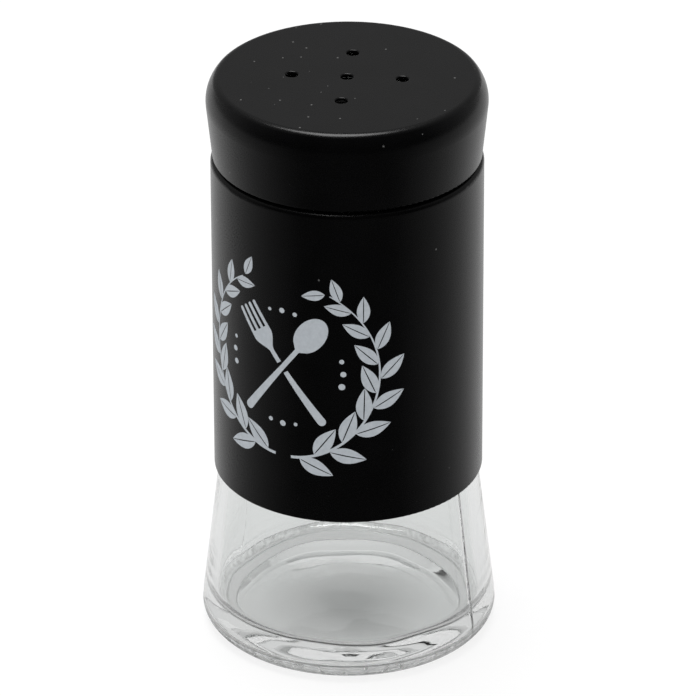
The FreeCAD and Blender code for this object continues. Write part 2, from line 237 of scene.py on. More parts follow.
@dataclass(frozen=True)
class SatinBlackPaint:
    """Satin black powder paint on steel, with a fine grain, and dust that lies mostly on the top."""

    name: str = "satin_black_paint"
    colour: tuple[float, float, float] = (0.0012, 0.0012, 0.0013)
    faded: tuple[float, float, float] = (0.002, 0.002, 0.0022)
    patch_scale: float = 160.0
    dust: tuple[float, float, float] = (0.11, 0.11, 0.108)
    dust_share: tuple[float, float] = (0.05, 0.9)
    dust_height: float = 0.0935
    dust_fade: float = 0.005
    dust_scale: float = 420.0
    dust_radius: float = 0.07
    roughness: float = 0.26
    roughness_spread: float = 0.05
    gloss: float = 0.22
    grain_scale: float = 5200.0
    grain_depth: float = 3.0e-6
    peel_scale: float = 900.0
    peel_depth: float = 8.0e-6

    def build(self) -> bpy.types.Material:
        """Make the material.

        Returns:
            The paint.
        """
        shading = Shading(self.name)
        patches = shading.ramp(shading.noise(self.patch_scale, detail=4.0), 0.0, 1.0)
        grain = shading.noise(self.grain_scale, detail=2.0)
        peel = shading.bump(shading.noise(self.peel_scale, detail=2.0), self.peel_depth)
        dusty = self.dust_height + self.dust_fade
        share = shading.ramp(shading.height(), *self.dust_share, self.dust_height, dusty)
        dust = shading.specks(self.dust_scale, self.dust_radius, share)
        low, high = self.roughness - self.roughness_spread, self.roughness + self.roughness_spread
        return shading.finish({
            "Base Color": shading.blend(dust, shading.blend(patches, self.colour, self.faded), self.dust),
            "Roughness": shading.ramp(grain, low, high),
            "Specular IOR Level": self.gloss,
            "Normal": shading.bump(grain, self.grain_depth, under=peel),
        })


@dataclass(frozen=True)
class ClearGlass:
    """Colourless soda glass, wavy from the mould, with a rough heel in streaks and a fine mould seam, both
    greyed by painted shade.
    """

    name: str = "clear_soda_glass"
    colour: tuple[float, float, float] = (0.97, 0.98, 0.975)
    deep: tuple[float, float, float] = (0.955, 0.97, 0.965)
    painted_shade: tuple[float, float, float] = (0.3, 0.305, 0.3)
    wave_scale: float = 90.0
    wave_stretch: tuple[float, float, float] = (1.0, 1.0, 0.45)
    wave_depth: float = 6.0e-5
    haze_scale: float = 420.0
    haze_roughness: float = 0.02
    streak_scale: float = 1000.0
    streak_stretch: tuple[float, float, float] = (1.0, 1.0, 0.15)
    streak_share: tuple[float, float] = (0.1, 0.8)
    streak_roughness: float = 0.4
    streak_depth: float = 5.0e-5
    heel_top: float = 0.0033
    heel_top_edge: float = 0.0004
    heel_inside: float = 0.0225
    heel_inside_edge: float = 0.001
    seam_half_width: float = 0.00024
    seam_top: float = 0.034
    seam_fade: float = 0.004
    outer_face: float = 0.0239

    def heel(self, shading: Shading) -> bpy.types.NodeSocket:
        """Mask of the heel, the low band round the foot.

        Args:
            shading: The material's tree.

        Returns:
            A socket that is 1 on the heel and 0 elsewhere.
        """
        low = shading.ramp(shading.height(), 1.0, 0.0, self.heel_top - self.heel_top_edge, self.heel_top)
        away = shading.vector("LENGTH", shading.flat(shading.place)).outputs["Value"]
        out = shading.ramp(away, 0.0, 1.0, self.heel_inside, self.heel_inside + self.heel_inside_edge)
        return shading.math("MULTIPLY", low, out)

    def seam(self, shading: Shading) -> bpy.types.NodeSocket:
        """Mask of the painted shade along the mould seam, a line down the outside of the flare.

        Args:
            shading: The material's tree.

        Returns:
            A socket that is 1 on the seam and 0 elsewhere.
        """
        turn = math.radians(SEAM_ANGLE)
        off = shading.math("ABSOLUTE", shading.along((-math.sin(turn), math.cos(turn), 0.0)))
        line = shading.ramp(off, 1.0, 0.0, self.seam_half_width / 2.0, self.seam_half_width)
        # Distance from the axis, carried down along the flare to the table.
        out = shading.along((math.cos(turn), math.sin(turn), math.tan(math.radians(FLARE_ANGLE))))
        outer = shading.math("MULTIPLY", line, shading.math("GREATER_THAN", out, self.outer_face))
        below = shading.ramp(shading.height(), 1.0, 0.0, self.seam_top - self.seam_fade, self.seam_top)
        return shading.math("MULTIPLY", outer, below)

    def build(self) -> bpy.types.Material:
        """Make the material.

        Returns:
            The glass.
        """
        shading = Shading(self.name)
        waves = shading.noise(self.wave_scale, detail=1.0, roughness=0.4, stretch=self.wave_stretch)
        streaks = shading.noise(self.streak_scale, detail=1.5, stretch=self.streak_stretch)
        heel = self.heel(shading)
        heel_streaks_and_shade = shading.math("MULTIPLY", heel, shading.ramp(streaks, *self.streak_share))
        # Painted shade: the base colour greys along the mould seam and in the heel's streaks, where
        # refraction and the nearby table make the glass look darker.
        painted_shade_mask = shading.math("MAXIMUM", heel_streaks_and_shade, self.seam(shading))
        clear = shading.blend(shading.ramp(waves, 0.0, 1.0), self.colour, self.deep)
        haze = shading.ramp(shading.noise(self.haze_scale, detail=2.0), 0.0, self.haze_roughness)
        relief = shading.math("MULTIPLY", streaks, heel)
        wavy = shading.bump(waves, self.wave_depth)
        return shading.finish({
            "Base Color": shading.blend(painted_shade_mask, clear, self.painted_shade),
            "Roughness": shading.math("ADD", shading.math("MULTIPLY", heel_streaks_and_shade, self.streak_roughness), haze),
            "IOR": GLASS_INDEX,
            "Transmission Weight": 1.0,
            "Normal": shading.bump(relief, self.streak_depth, strength=0.6, under=wavy),
        })


@dataclass(frozen=True)
class StippledGlass:
    """The same glass on the ring that the jar stands on, pitted so that it scatters light, with painted shade
    in the pits.
    """

    name: str = "stippled_soda_glass"
    colour: tuple[float, float, float] = (0.96, 0.97, 0.965)
    pit_painted_shade: tuple[float, float, float] = (0.90, 0.92, 0.915)
    pit_scale: float = 900.0
    pit_edge: tuple[float, float] = (0.1, 0.6)
    pit_depth: float = 2.5e-5
    roughness: tuple[float, float] = (0.42, 0.55)
    clearness: float = 0.5

    def build(self) -> bpy.types.Material:
        """Make the material.

        Returns:
            The stippled glass.
        """
        shading = Shading(self.name)
        pits = shading.cells(self.pit_scale)["Distance"]
        # Painted shade: the base colour is darker in the pits, where the bump sinks them.
        return shading.finish({
            "Base Color": shading.blend(shading.ramp(pits, 0.0, 1.0, *self.pit_edge), self.pit_painted_shade, self.colour),
            "Roughness": shading.ramp(pits, *self.roughness, *self.pit_edge),
            "IOR": GLASS_INDEX,
            "Transmission Weight": self.clearness,
            "Normal": shading.bump(pits, self.pit_depth, strength=0.35),
        })


@dataclass(frozen=True)
class SilverInk:
    """Pale silver-grey screen ink, a little uneven where the mesh left it thin."""

    name: str = "silver_grey_ink"
    colour: tuple[float, float, float] = (0.57, 0.61, 0.65)
    thin: tuple[float, float, float] = (0.49, 0.53, 0.57)
    mottle_scale: float = 1400.0
    mottle_depth: float = 8.0e-6
    grain_scale: float = 9000.0
    roughness: tuple[float, float] = (0.42, 0.58)
    gloss: float = 0.3

    def build(self) -> bpy.types.Material:
        """Make the material.

        Returns:
            The ink.
        """
        shading = Shading(self.name)
        mottle = shading.noise(self.mottle_scale, detail=4.0, roughness=0.6)
        return shading.finish({
            "Base Color": shading.blend(shading.ramp(mottle, 0.0, 1.0), self.colour, self.thin),
            "Roughness": shading.ramp(shading.noise(self.grain_scale, detail=1.0), *self.roughness),
            "Specular IOR Level": self.gloss,
            "Normal": shading.bump(mottle, self.mottle_depth),
        })


@dataclass(frozen=True)
class MouldedPlastic:
    """Fine matt moulded plastic with faint flow lines round the axis."""

    name: str = "moulded_black_plastic"
    colour: tuple[float, float, float] = (0.016, 0.016, 0.017)
    pale: tuple[float, float, float] = (0.026, 0.026, 0.028)
    flow_scale: float = 300.0
    flow_stretch: tuple[float, float, float] = (1.0, 1.0, 4.0)
    grain_scale: float = 6500.0
    grain_depth: float = 1.0e-5
    roughness: tuple[float, float] = (0.44, 0.6)
    gloss: float = 0.4

    def build(self) -> bpy.types.Material:
        """Make the material.

        Returns:
            The plastic.
        """
        shading = Shading(self.name)
        flow = shading.noise(self.flow_scale, stretch=self.flow_stretch)
        grain = shading.noise(self.grain_scale, detail=2.0)
        return shading.finish({
            "Base Color": shading.blend(shading.ramp(flow, 0.0, 1.0), self.colour, self.pale),
            "Roughness": shading.ramp(grain, *self.roughness),
            "Specular IOR Level": self.gloss,
            "Normal": shading.bump(grain, self.grain_depth, strength=0.6),
        })


@dataclass(frozen=True)
class FoamSeal:
    """White closed-cell foam: small shallow cells under a soft skin, with painted shade in the cell hollows.
    """

    name: str = "white_foam_seal"
    colour: tuple[float, float, float] = (0.74, 0.74, 0.71)
    hollow_painted_shade: tuple[float, float, float] = (0.62, 0.62, 0.59)
    cell_scale: float = 4200.0
    cell_edge: tuple[float, float] = (0.1, 0.6)
    cell_depth: float = 3.0e-5
    roughness: tuple[float, float] = (0.7, 0.85)

    def build(self) -> bpy.types.Material:
        """Make the material.

        Returns:
            The foam.
        """
        shading = Shading(self.name)
        cells = shading.cells(self.cell_scale)["Distance"]
        # Painted shade: the base colour is darker in the cell hollows, where the bump sinks them.
        rims = shading.ramp(cells, 0.0, 1.0, *self.cell_edge)
        return shading.finish({
            "Base Color": shading.blend(rims, self.hollow_painted_shade, self.colour),
            "Roughness": shading.ramp(cells, *self.roughness, 0.0, self.cell_edge[1]),
            "Normal": shading.bump(cells, self.cell_depth),
        })


@dataclass(frozen=True)
class SetGlue:
    """Clear adhesive, set with small bubbles and a rippled face."""

    name: str = "set_clear_glue"
    colour: tuple[float, float, float] = (0.72, 0.70, 0.64)
    bubble: tuple[float, float, float] = (0.84, 0.83, 0.80)
    bubble_scale: float = 1500.0
    bubble_radius: float = 0.3
    bubble_share: float = 0.25
    ripple_scale: float = 500.0
    ripple_depth: float = 4.0e-5
    roughness: tuple[float, float] = (0.18, 0.4)

    def build(self) -> bpy.types.Material:
        """Make the material.

        Returns:
            The glue.
        """
        shading = Shading(self.name)
        ripple = shading.noise(self.ripple_scale)
        bubbles = shading.specks(self.bubble_scale, self.bubble_radius, self.bubble_share)
        return shading.finish({
            "Base Color": shading.blend(bubbles, self.colour, self.bubble),
            "Roughness": shading.ramp(ripple, *self.roughness),
            "Normal": shading.bump(ripple, self.ripple_depth),
        })


def dress_node(body: Body, node: str, material: bpy.types.Material) -> None:
    """Give a carried-over node its material.

    Args:
        body: The body that the node belongs to.
        node: The node's name.
        material: The finish for all its faces.
    """
    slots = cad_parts[node].data.materials
    slots.clear()
    slots.append(material)
    LOG.info("%s, node %s: %s", body.value, node, material.name)


def strip_faces(rows: int, across: int, first: int) -> list[tuple[int, int, int, int]]:
    """Quads of a strip of point rows.

    Args:
        rows: Number of rows along the strip.
        across: Points in a row.
        first: Index of the strip's first point.

    Returns:
        Four indices for each quad, wound to face +Z for a strip that runs along +X.
    """
    faces = []
    for row in range(rows - 1):
        for step in range(across - 1):
            corner = first + row * across + step
            faces.append((corner, corner + across, corner + across + 1, corner + 1))
    return faces


def rounded(corners: Sequence[tuple[float, float, float]], step: float) -> list[Vector]:
    """Outline through corners, each rounded by an arc.

    Args:
        corners: Distance from the axis, height and rounding of each corner, in millimetres.
        step: Distance between points on an arc.

    Returns:
        The outline's points.
    """
    points = []
    for index, (across, up, radius) in enumerate(corners):
        here = Vector((across, up))
        if radius == 0.0:
            points.append(here)
            continue
        arrive = (here - Vector(corners[index - 1][:2])).normalized()
        leave = (Vector(corners[index + 1][:2]) - here).normalized()
        turn = arrive.angle_signed(leave)
        # A clockwise turn is positive here, and its arc lies to the right.
        way = -1.0 if turn > 0.0 else 1.0
        side = Vector((-arrive.y, arrive.x)) * way
        centre = here - arrive * radius * math.tan(abs(turn) / 2.0) + side * radius
        count = max(3, math.ceil(radius * abs(turn) / step))
        for number in range(count + 1):
            angle = way * abs(turn) * number / count
            points.append(centre + Matrix.Rotation(angle, 2) @ (side * -radius))
    return points


def spaced(points: Sequence[Vector], step: Callable[[Vector], float]) -> list[Vector]:
    """The same outline with points added where they lie too far apart.

    Args:
        points: The outline.
        step: Greatest distance between points, at a place.

    Returns:
        The closer points.
    """
    closer = [points[0]]
    for start, end in zip(points, points[1:]):
        parts = max(1, math.ceil((end - start).length / step((start + end) / 2.0)))
        closer.extend(start.lerp(end, number / parts) for number in range(1, parts + 1))
    return closer


def held(value: float) -> float:
    """A value held between 0 and 1."""
    return min(max(value, 0.0), 1.0)


def hump(distance: float, half_width: float) -> float:
    """Smooth hump, 1 at distance 0 and 0 at the half width and beyond."""
    if abs(distance) >= half_width:
        return 0.0
    return math.cos(math.pi / 2.0 * distance / half_width) ** 2


@dataclass
class GlassJar:
    """The jar in millimetres: turned finely, with the seams, thread and uneven inside of moulded glass."""

    foot_radius: float = 25.1
    heel_rounding: float = 3.2
    ring_radius: float = 18.5
    ring_rounding: float = 1.5
    ring_inner_edge: float = 0.5
    ring_outer_edge: float = 0.6
    ring_rise: float = 0.2
    push_up: float = 2.0
    jar_radius: float = 21.45
    wall: float = 2.45
    floor_height: float = 4.7
    floor_dome: float = 0.9
    floor_rounding: float = 2.4
    dome_parts: tuple[float, ...] = (0.3, 0.5, 0.7, 0.85)
    flare_rounding: float = 14.0
    shoulder_height: float = 85.4
    shoulder_rounding: float = 3.0
    shoulder_wall: float = 3.6
    neck_radius: float = 17.54
    neck_rounding: float = 0.6
    bore_radius: float = 15.6
    lip_height: float = 97.2
    lip_rounding: float = 0.7
    thread_pitch: float = 4.233
    thread_depth: float = 1.18
    thread_foot: float = 1.1
    thread_crest: float = 0.45
    thread_start: float = 90.2
    thread_turns: float = 1.1
    thread_fade: float = 0.03
    seam_half_width: float = 0.32
    seam_height: float = 0.16
    worn_seam: float = 0.3
    parting_height: float = 3.3
    parting_half_width: float = 0.5
    parting_depth: float = 0.2
    wave_across: float = 10.0
    wave_up: float = 18.0
    wave_on_wall: float = 0.11
    wave_on_floor: float = 0.47
    ripple_across: float = 4.5
    ripple_up: float = 9.0
    ripple_shift: float = 5.0
    ripple_on_wall: float = 0.015
    ripple_on_floor: float = 0.06
    floor_blend: float = 2.0
    smooth_above: float = 34.0
    smooth_fade: float = 20.0
    arc_step: float = 0.25
    thread_row: float = 0.28
    seen_row: float = 0.9
    hidden_row: float = 3.0
    columns: int = 240
    seam_column: float = 0.1
    seam_columns: int = 3

    def leaning(self, height: float, inset: float = 0.0) -> float:
        """Radius of the leaning wall at a height, set in by a thickness."""
        lean = math.radians(FLARE_ANGLE)
        return self.foot_radius - height * math.tan(lean) - inset / math.cos(lean)

    def lean_end(self, inset: float = 0.0) -> float:
        """Height at which the leaning wall, set in by a thickness, meets the straight body."""
        return (self.leaning(0.0, inset) - self.jar_radius + inset) / math.tan(math.radians(FLARE_ANGLE))

    def outline(self) -> list[Vector]:
        """Section of the jar, from the middle of its underside round to the middle of its floor."""
        inner = self.jar_radius - self.wall
        hollow_top = self.shoulder_height - self.shoulder_wall
        neck_start = hollow_top + inner - self.bore_radius
        corner = self.leaning(self.floor_height, self.wall)
        corners = [(0.0, self.push_up, 0.0)]
        for part in self.dome_parts:
            corners.append((self.ring_radius * part, self.push_up * (1.0 - part ** 2), 0.0))
        corners += [
            (self.ring_radius, 0.0, self.ring_rounding),
            (self.foot_radius, 0.0, self.heel_rounding),
            (self.jar_radius, self.lean_end(), self.flare_rounding),
            (self.jar_radius, self.shoulder_height, self.shoulder_rounding),
            (self.neck_radius, self.shoulder_height, self.neck_rounding),
            (self.neck_radius, self.lip_height, self.lip_rounding),
            (self.bore_radius, self.lip_height, self.lip_rounding),
            (self.bore_radius, neck_start, self.shoulder_rounding / 2.0),
            (inner, hollow_top, self.shoulder_rounding - self.neck_rounding),
            (inner, self.lean_end(self.wall), self.flare_rounding),
            (corner, self.floor_height, self.floor_rounding),
        ]
        for part in (*reversed(self.dome_parts), 0.0):
            corners.append((corner * part, self.floor_height + self.floor_dome * (1.0 - part ** 2), 0.0))
        return spaced(rounded(corners, self.arc_step), self.row_step)

    def row_step(self, spot: Vector) -> float:
        """Greatest distance between rows: fine on the thread, fair where the glass is seen."""
        if spot.y > self.shoulder_height and spot.x > self.bore_radius:
            return self.thread_row
        return self.seen_row if spot.y < self.smooth_above else self.hidden_row

    def angles(self) -> list[float]:
        """Columns round the jar, with closer ones across the two mould seams."""
        angles = [math.tau * number / self.columns for number in range(self.columns)]
        for seam in (SEAM_ANGLE, SEAM_ANGLE + 180.0):
            for number in range(-self.seam_columns, self.seam_columns + 1):
                offset = number * self.seam_column / self.jar_radius
                angles.append((math.radians(seam) + offset) % math.tau)
        return sorted(angles)

    def thread(self, angle: float, height: float) -> float:
        """Height of the thread over the neck at a place, with its two ends faded out."""
        most = 0.0
        for turns in (angle / math.tau, angle / math.tau + 1.0):
            if turns > self.thread_turns:
                continue
            away = abs(height - self.thread_start - self.thread_pitch * turns)
            flank = (self.thread_foot - away) / (self.thread_foot - self.thread_crest)
            near_end = min(turns, self.thread_turns - turns) / self.thread_fade
            most = max(most, min(flank, near_end, 1.0))
        return self.thread_depth * most

    def seam(self, angle: float, height: float) -> float:
        """Height of the mould seams, the back one worn, less the parting line at the heel."""
        off = (math.degrees(angle) - SEAM_ANGLE + 90.0) % 180.0 - 90.0
        ridge = hump(math.radians(off) * self.jar_radius, self.seam_half_width)
        if math.cos(angle - math.radians(SEAM_ANGLE)) < 0.0:
            ridge *= self.worn_seam
        low, high = self.parting_height, self.shoulder_height - self.shoulder_rounding
        ends = held(min(height - low, high - height))
        parting = self.parting_depth * hump(height - low, self.parting_half_width)
        return self.seam_height * ridge * ends - parting

    def unevenness(self, place: Vector) -> float:
        """How far the inside stands off its true shape, fading out under the sleeve."""
        across, up = self.wave_across, self.wave_up
        wave = noise.noise(Vector((place.x / across, place.y / across, place.z / up)))
        across, up = self.ripple_across, self.ripple_up
        ripple = noise.noise(Vector((place.x / across, place.y / across, place.z / up + self.ripple_shift)))
        on_floor = held((self.floor_height + self.floor_blend - place.z) / self.floor_blend)
        wave *= self.wave_on_wall + (self.wave_on_floor - self.wave_on_wall) * on_floor
        ripple *= self.ripple_on_wall + (self.ripple_on_floor - self.ripple_on_wall) * on_floor
        return held((self.smooth_above + self.smooth_fade - place.z) / self.smooth_fade) * (wave + ripple)

    def on_ring(self, middle: Vector) -> bool:
        """Whether a face, by its middle in metres, is on the ring that the jar stands on."""
        low = self.ring_radius - self.ring_inner_edge
        high = self.foot_radius - self.heel_rounding + self.ring_outer_edge
        return middle.z < self.ring_rise * MM and low * MM < middle.to_2d().length < high * MM

    def build(self, clear: bpy.types.Material, stippled: bpy.types.Material) -> bpy.types.Object:
        """Turn the jar.

        Args:
            clear: The glass.
            stippled: The glass of the ring that it stands on.

        Returns:
            The jar as one closed mesh.
        """
        outline = self.outline()
        angles = self.angles()
        top = max(range(len(outline)), key=lambda row: outline[row].y)
        points = [Vector((0.0, 0.0, self.push_up))]
        for row, spot in enumerate(outline[1:-1], start=1):
            along = (outline[row + 1] - outline[row - 1]).normalized()
            out = Vector((along.y, -along.x))
            for angle in angles:
                around = Vector((math.cos(angle), math.sin(angle), 0.0))
                place = around * spot.x + Vector((0.0, 0.0, spot.y))
                if row > top:
                    rise = self.unevenness(place)
                elif spot.y > self.shoulder_height:
                    rise = self.thread(angle, spot.y)
                else:
                    rise = self.seam(angle, spot.y)
                points.append(place + (around * out.x + Vector((0.0, 0.0, out.y))) * rise)
        points.append(Vector((0.0, 0.0, outline[-1].y)))
        mesh = bpy.data.meshes.new("glass_jar_turned")
        mesh.from_pydata([point * MM for point in points], [], self.faces(len(outline) - 2, len(angles)))
        mesh.materials.append(clear)
        mesh.materials.append(stippled)
        for face in mesh.polygons:
            face.use_smooth = True
            face.material_index = 1 if self.on_ring(face.center) else 0
        jar = bpy.data.objects.new("glass_jar_turned", mesh)
        bpy.context.scene.collection.objects.link(jar)
        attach(jar, Body.JAR.value)
        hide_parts("glass_jar")
        LOG.info("jar: %d faces", len(mesh.polygons))
        return jar

    @staticmethod
    def faces(rows: int, columns: int) -> list[tuple[int, ...]]:
        """Faces between the rows, closed by a fan at each pole.

        Args:
            rows: Rows of points between the two poles.
            columns: Points in a row.

        Returns:
            The faces, wound outward.
        """
        faces: list[tuple[int, ...]] = []
        last = rows * columns + 1
        for column in range(columns):
            beside = (column + 1) % columns
            faces.append((0, 1 + beside, 1 + column))
            faces.append((last - columns + column, last - columns + beside, last))
            for row in range(rows - 1):
                low, high = 1 + row * columns, 1 + (row + 1) * columns
                faces.append((low + column, low + beside, high + beside, high + column))
        return faces


@dataclass
class FlatArt:
    """Flat outlines for the print, in metres about its middle, built as ribbons of quads."""

    points: list[tuple[float, float, float]] = field(default_factory=list)
    faces: list[tuple[int, ...]] = field(default_factory=list)
    across: int = 5
    least_half_width: float = 0.004
    nudge: float = 0.001

    def ribbon(self, path: Callable[[float], tuple[float, float]], half_width: Callable[[float], float],
               rows: int) -> None:
        """Add a ribbon along a path.

        Args:
            path: Place in millimetres at a part of the way, from 0 to 1.
            half_width: Half width in millimetres at a part of the way.
            rows: Number of point rows, closer together at both ends.
        """
        first = len(self.points)
        for row in range(rows):
            part = 0.5 - 0.5 * math.cos(math.pi * row / (rows - 1))
            here = Vector(path(part))
            ahead = (Vector(path(part + self.nudge)) - Vector(path(part - self.nudge))).normalized()
            side = Vector((-ahead.y, ahead.x)) * max(half_width(part), self.least_half_width)
            for step in range(self.across):
                spot = (here + side * (2.0 * step / (self.across - 1) - 1.0)) * MM
                self.points.append((spot.x, spot.y, 0.0))
        self.faces.extend(strip_faces(rows, self.across, first))

    def mesh(self, name: str) -> bpy.types.Mesh:
        """The ribbons as one mesh."""
        mesh = bpy.data.meshes.new(name)
        mesh.from_pydata(self.points, [], self.faces)
        mesh.update()
        return mesh


def straight(start: float, end: float, turn: float,
             offset: float = 0.0) -> Callable[[float], tuple[float, float]]:
    """Path along a line through the middle of the print.

    Args:
        start: Distance of its start along the line, in millimetres.
        end: Distance of its end.
        turn: Angle of the line from +X, in degrees.
        offset: How far the path lies to the left of the line.

    Returns:
        The path, for FlatArt.ribbon.
    """
    across, up = math.cos(math.radians(turn)), math.sin(math.radians(turn))

    def path(part: float) -> tuple[float, float]:
        """Place at a part of the way."""
        along = start + (end - start) * part
        return along * across - offset * up, along * up + offset * across

    return path


def rounded_end(distance: float, radius: float) -> float:
    """Width factor of a rounded end, from 0 at its tip to 1 at its radius and beyond."""
    return math.sqrt(1.0 - (1.0 - held(distance / radius)) ** 2)


@dataclass
class KitchenPrint:
    """One-colour print on the sleeve, in millimetres and degrees: a leaf wreath round a spoon and fork."""

    sleeve_radius: float = 22.45
    lift: float = 0.006
    film: float = 0.02
    weld: float = 0.001
    middle_angle: float = -28.5
    middle_height: float = 57.0
    wreath_radius: float = 16.4
    wreath_gap: float = 9.0
    wreath_sweep: float = 143.0
    stem_width: float = 0.5
    stem_taper: float = 0.62
    stem_below: float = 4.0
    stem_longer: float = 2.0
    stem_rows: int = 90
    leaves_on_a_side: int = 8
    leaf_length: float = 5.9
    leaf_width: float = 2.7
    leaf_lean: float = 36.0
    leaf_root: float = 0.42
    leaf_rows: int = 15
    leaf_columns: int = 4
    branch_points: int = 96
    leaf_belly: float = 0.82
    leaf_fullness: float = 0.9
    leaf_jitter: float = 0.09
    first_leaf: float = 1.05
    leaf_shrink: float = 0.42
    vein_gap: float = 0.2
    vein_fullness: float = 0.4
    berry_ring: float = 10.4
    berry_radius: float = 0.46
    berry_sizes: tuple[float, float] = (0.65, 1.25)
    berry_places: int = 28
    berry_corners: int = 14
    berry_spread: float = 0.93
    spoon_turn: float = 53.0
    spoon_rows: int = 72
    fork_turn: float = 127.0
    fork_rows: int = 28
    reach: float = 12.0
    handle_end: float = 0.78
    handle_neck: float = 0.42
    crossing_gap: float = 2.3
    bowl_length: float = 3.7
    bowl_width: float = 2.45
    palm_start: float = 0.36
    palm_swell: float = 0.5
    palm_fullness: float = 1.6
    tines: int = 4
    tine_length: float = 4.7
    tine_pitch: float = 1.18
    tine_width: float = 0.62
    tine_rows: int = 16
    seed: int = 7

    def handle(self, along: float) -> float:
        """Half width of a handle at a distance from the middle of the print."""
        end = rounded_end(along + self.reach, self.handle_end)
        return (self.handle_neck + (self.handle_end - self.handle_neck) * held(-along / self.reach)) * end

    def spoon(self, art: FlatArt) -> None:
        """Draw the spoon, bowl up and to the right.

        Args:
            art: The drawing that it goes into.
        """
        middle = self.reach - self.bowl_length

        def half_width(part: float) -> float:
            """Half width of handle and bowl."""
            along = self.reach * (2.0 * part - 1.0)
            inside = 1.0 - ((along - middle) / self.bowl_length) ** 2
            bowl = self.bowl_width * math.sqrt(max(inside, 0.0))
            return max(bowl, self.handle(along) if along < middle else 0.0)

        art.ribbon(straight(-self.reach, self.reach, self.spoon_turn), half_width, self.spoon_rows)

    def fork(self, art: FlatArt) -> None:
        """Draw the fork, tines up and to the left, open where the spoon lies over it.

        Args:
            art: The drawing that it goes into.
        """
        clear = self.handle_neck * self.crossing_gap
        foot = self.reach - self.tine_length
        outermost = (self.tines - 1) / 2.0
        palm = outermost * self.tine_pitch + self.tine_width / 2.0

        def lower(part: float) -> float:
            """Half width of the handle below the spoon."""
            return self.handle(-self.reach + (self.reach - clear) * part)

        def upper(part: float) -> float:
            """Half width of the neck and the palm above the spoon."""
            swell = math.sin(held((part - self.palm_start) / self.palm_swell) * math.pi / 2.0)
            return self.handle_neck + (palm - self.handle_neck) * swell ** self.palm_fullness

        def tine(part: float) -> float:
            """Half width of a tine."""
            return self.tine_width / 2.0 * rounded_end((1.0 - part) * self.tine_length, self.tine_width / 2.0)

        art.ribbon(straight(-self.reach, -clear, self.fork_turn), lower, self.fork_rows)
        art.ribbon(straight(clear, foot, self.fork_turn), upper, self.fork_rows)
        for number in range(self.tines):
            side = (number - outermost) * self.tine_pitch
            art.ribbon(straight(foot, self.reach, self.fork_turn, side), tine, self.tine_rows)

    def stems(self, art: FlatArt) -> None:
        """Draw the wreath's two stems, tapering to their tips.

        Args:
            art: The drawing that they go into.
        """
        start, sweep = self.wreath_gap - self.stem_below, self.wreath_sweep + self.stem_longer
        for way in (1.0, -1.0):

            def path(part: float, way: float = way) -> tuple[float, float]:
                """Place on the stem."""
                angle = math.radians(-90.0 + way * (start + sweep * part))
                return self.wreath_radius * math.cos(angle), self.wreath_radius * math.sin(angle)

            def half_width(part: float) -> float:
                """Half width of the stem."""
                return self.stem_width / 2.0 * (1.0 - self.stem_taper * part)

            art.ribbon(path, half_width, self.stem_rows)

    def inputs(self) -> dict[str, Any]:
        """Named inputs of the geometry tree, in metres and radians."""
        return {
            "Wreath Radius": self.wreath_radius * MM,
            "Leaf Length": self.leaf_length * MM,
            "Leaf Width": self.leaf_width * MM,
            "Vein Gap": self.vein_gap * MM,
            "Berry Ring": self.berry_ring * MM,
            "Berry Radius": self.berry_radius * MM,
            "Sleeve Radius": self.sleeve_radius * MM,
            "Lift": self.lift * MM,
            "Film": self.film * MM,
            "Middle Angle": math.radians(self.middle_angle),
            "Middle Height": self.middle_height * MM,
            "Leaf Lean": math.radians(self.leaf_lean),
            "Leaf Root": self.leaf_root * MM,
            "Wreath Gap": math.radians(self.wreath_gap),
            "Wreath Sweep": math.radians(self.wreath_sweep),
            "Leaves": self.leaves_on_a_side,
            "Seed": self.seed,
        }

    def tree(self, ink: bpy.types.Material) -> bpy.types.NodeTree:
        """Geometry nodes that add leaves and berries, thicken the film and wrap it.

        Args:
            ink: The material that the tree sets.

        Returns:
            The tree, with its sizes as named inputs.
        """
        tree = bpy.data.node_groups.new("wreath_on_sleeve", "GeometryNodeTree")
        tree.interface.new_socket("Geometry", in_out="INPUT", socket_type="NodeSocketGeometry")
        for name, value in self.inputs().items():
            kind = "NodeSocketInt" if isinstance(value, int) else "NodeSocketFloat"
            tree.interface.new_socket(name, in_out="INPUT", socket_type=kind)
        tree.interface.new_socket("Geometry", in_out="OUTPUT", socket_type="NodeSocketGeometry")
        graph = Graph(tree)
        given = graph.add("NodeGroupInput").outputs
        parts = [given["Geometry"], self.leaf_nodes(graph, given), self.berry_nodes(graph, given)]
        whole = graph.add("GeometryNodeRealizeInstances", {0: graph.join(parts)}).outputs[0]
        wrapped = self.wrap_nodes(graph, given, self.film_nodes(graph, given, whole))
        real = graph.add("GeometryNodeRealizeInstances", {0: wrapped}).outputs[0]
        inked = graph.add("GeometryNodeSetMaterial", {"Geometry": real, "Material": ink}).outputs[0]
        graph.add("NodeGroupOutput", {0: inked})
        return tree

